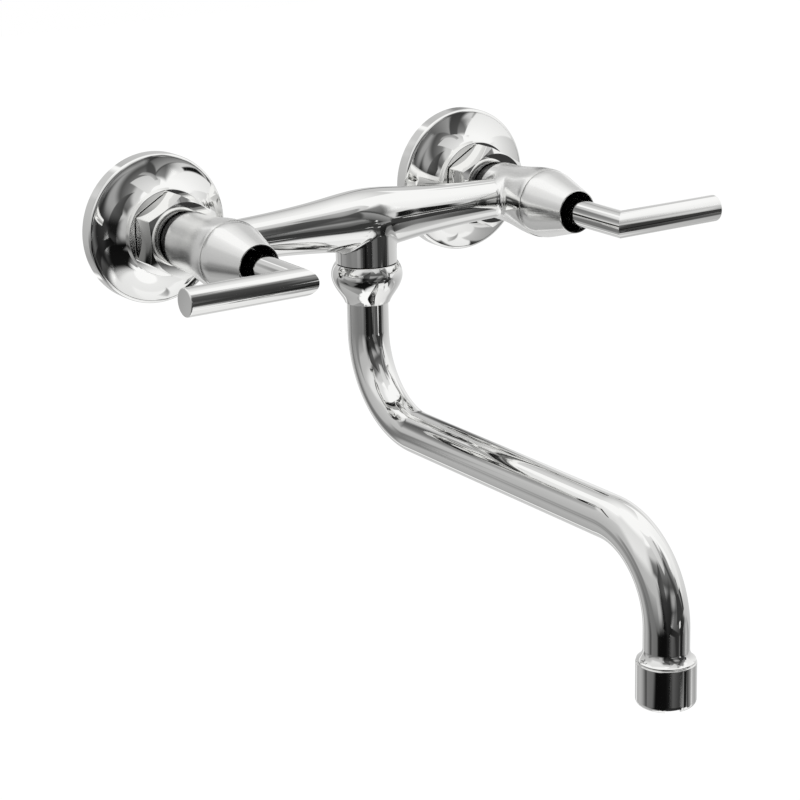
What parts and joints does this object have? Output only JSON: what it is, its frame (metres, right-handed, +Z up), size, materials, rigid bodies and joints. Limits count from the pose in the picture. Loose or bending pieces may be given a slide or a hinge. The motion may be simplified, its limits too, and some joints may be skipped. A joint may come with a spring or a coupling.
{
  "type": "wall mixer faucet",
  "caption": "Wall-mounted mixer tap: crossbar body on wall flanges, a lever on each valve, and a swan-neck spout that swivels below the body and ends in an aerator.",
  "frame": {"origin": "on the wall face, midway between the axes of the wall inlets", "axes": "+Z up, +Y into the wall (the levers and the spout stand out towards -Y), +X to the user's right"},
  "size_m": [0.246, 0.2674, 0.1743],
  "materials": {
    "chrome": "polished chrome plate on brass",
    "brass": "machined, unplated",
    "seal_rubber": "moulded, matt",
    "fibre": "pressed fibre, matt",
    "ceramic": "lapped ceramic",
    "spring_steel": "ground stainless steel",
    "slip_plastic": "moulded natural plastic",
    "insert_plastic": "moulded grey plastic"
  },
  "bodies": {
    "mixer": {"bonnet_left": "chrome", "bonnet_right": "chrome", "fixed_disc_left": "ceramic", "fixed_disc_right": "ceramic", "gland_body_left": "brass", "gland_body_right": "brass", "inlet_tail_left": "chrome", "inlet_tail_right": "chrome", "mixer_body": "chrome", "sealing_washer_left": "fibre", "sealing_washer_right": "fibre", "seat_washer_left": "seal_rubber", "seat_washer_right": "seal_rubber", "slip_ring": "slip_plastic", "spout_nut": "chrome", "thrust_ring": "slip_plastic", "union_nut_left": "chrome", "union_nut_right": "chrome", "wall_flange_left": "chrome", "wall_flange_right": "chrome", "wall_leg_left": "brass", "wall_leg_right": "brass"},
    "left_handle": {"spindle_left": "brass", "turning_disc_left": "ceramic", "spindle_oring_left": "seal_rubber", "circlip_left": "spring_steel", "lever_left": "chrome", "lever_screw_left": "spring_steel"},
    "right_handle": {"spindle_right": "brass", "turning_disc_right": "ceramic", "spindle_oring_right": "seal_rubber", "circlip_right": "spring_steel", "lever_right": "chrome", "lever_screw_right": "spring_steel"},
    "spout": {"spout_spigot": "brass", "spout_oring_upper": "seal_rubber", "spout_oring_lower": "seal_rubber", "spout_tube": "chrome", "outlet_collar": "chrome", "aerator_shell": "chrome", "aerator_seal": "seal_rubber", "aerator_insert": "insert_plastic", "strainer_disc": "slip_plastic"}
  },
  "joints": [
    {"name": "left_lever_turn", "type": "hinge", "parent": "mixer", "child": "left_handle", "pos_m": [-0.075, -0.087, 0], "axis": [0, -1, 0], "range_deg": [0, 90]},
    {"name": "right_lever_turn", "type": "hinge", "parent": "mixer", "child": "right_handle", "pos_m": [0.075, -0.087, 0], "axis": [0, 1, 0], "range_deg": [0, 90]},
    {"name": "spout_swing", "type": "hinge", "parent": "mixer", "child": "spout", "pos_m": [0, -0.044, -0.025], "axis": [0, 0, 1], "range_deg": [-90, 90]}
  ]
}
